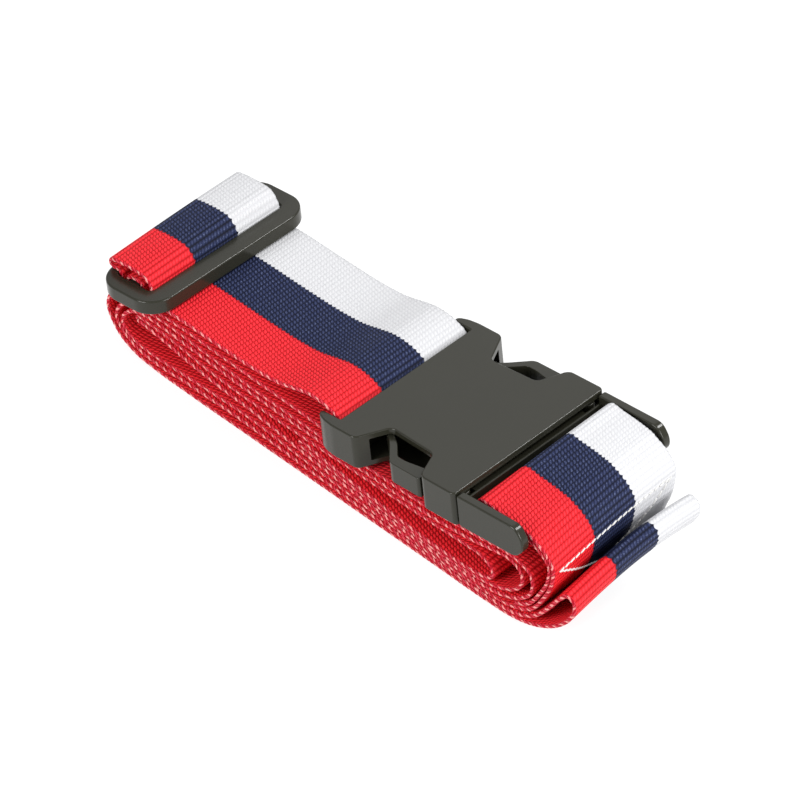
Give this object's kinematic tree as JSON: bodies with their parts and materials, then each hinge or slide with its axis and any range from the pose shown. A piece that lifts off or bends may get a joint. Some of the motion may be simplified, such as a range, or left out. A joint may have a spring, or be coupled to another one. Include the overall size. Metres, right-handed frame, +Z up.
{
  "type": "luggage strap",
  "caption": "Luggage strap with tri-colour web wound into a flat hank, closed by a side-release buckle and adjusted by a tri-glide slider.",
  "frame": {"origin": "under the middle of the hank, on the surface it lies on", "axes": "+X along the hank towards its loose right end, +Y across the web towards the white stripe, +Z up through the plies"},
  "size_m": [0.182, 0.062, 0.0396],
  "materials": {
    "web": "woven polyester web in red, navy and white thirds",
    "thread": "white sewing thread",
    "moulding": "dark grey moulded plastic with a satin surface"
  },
  "bodies": {
    "strap": {"web_return_run": "web", "web_socket_turn": "web", "web_top_run": "web", "web_left_turn_outer": "web", "web_base_run": "web", "web_end_loop": "web", "web_second_run": "web", "web_left_turn_middle": "web", "web_upper_run": "web", "web_right_turn_outer": "web", "web_fourth_run": "web", "web_left_fold": "web", "web_fifth_run": "web", "web_right_fold": "web", "web_sixth_run": "web", "web_core_fold": "web", "web_seventh_run": "web", "web_right_turn_inner": "web", "web_eighth_run": "web", "web_left_turn_inner": "web", "web_ninth_run": "web", "socket_body": "moulding"},
    "plug": {"plug_frame": "moulding", "web_plug_fold": "web", "stitch_plug_tab": "thread"},
    "prong_near": {"prong_near": "moulding"},
    "prong_far": {"prong_far": "moulding"},
    "slider": {"slider_ring": "moulding", "web_slider_loop": "web", "web_sewn_wrap": "web", "stitch_slider_wrap": "thread"}
  },
  "joints": [
    {"name": "plug_slide", "type": "slide", "parent": "strap", "child": "plug", "axis": [0.9925, 0, 0.1219], "range_m": [0, 0.04], "deforming": ["web_plug_fold", "stitch_plug_tab", "prong_near", "prong_far"]},
    {"name": "prong_near_press", "type": "hinge", "parent": "plug", "child": "prong_near", "pos_m": [0.04914, -0.0242, 0.03178], "axis": [-0.1219, 0, 0.9925], "range_deg": [-6, 0], "stiffness_Nm_per_rad": 1},
    {"name": "prong_far_press", "type": "hinge", "parent": "plug", "child": "prong_far", "pos_m": [0.04914, 0.0242, 0.03178], "axis": [-0.1219, 0, 0.9925], "range_deg": [0, 6], "stiffness_Nm_per_rad": 1},
    {"name": "slider_slide", "type": "slide", "parent": "strap", "child": "slider", "axis": [0.9907, 0, 0.1357], "range_m": [0, 0.028]}
  ]
}
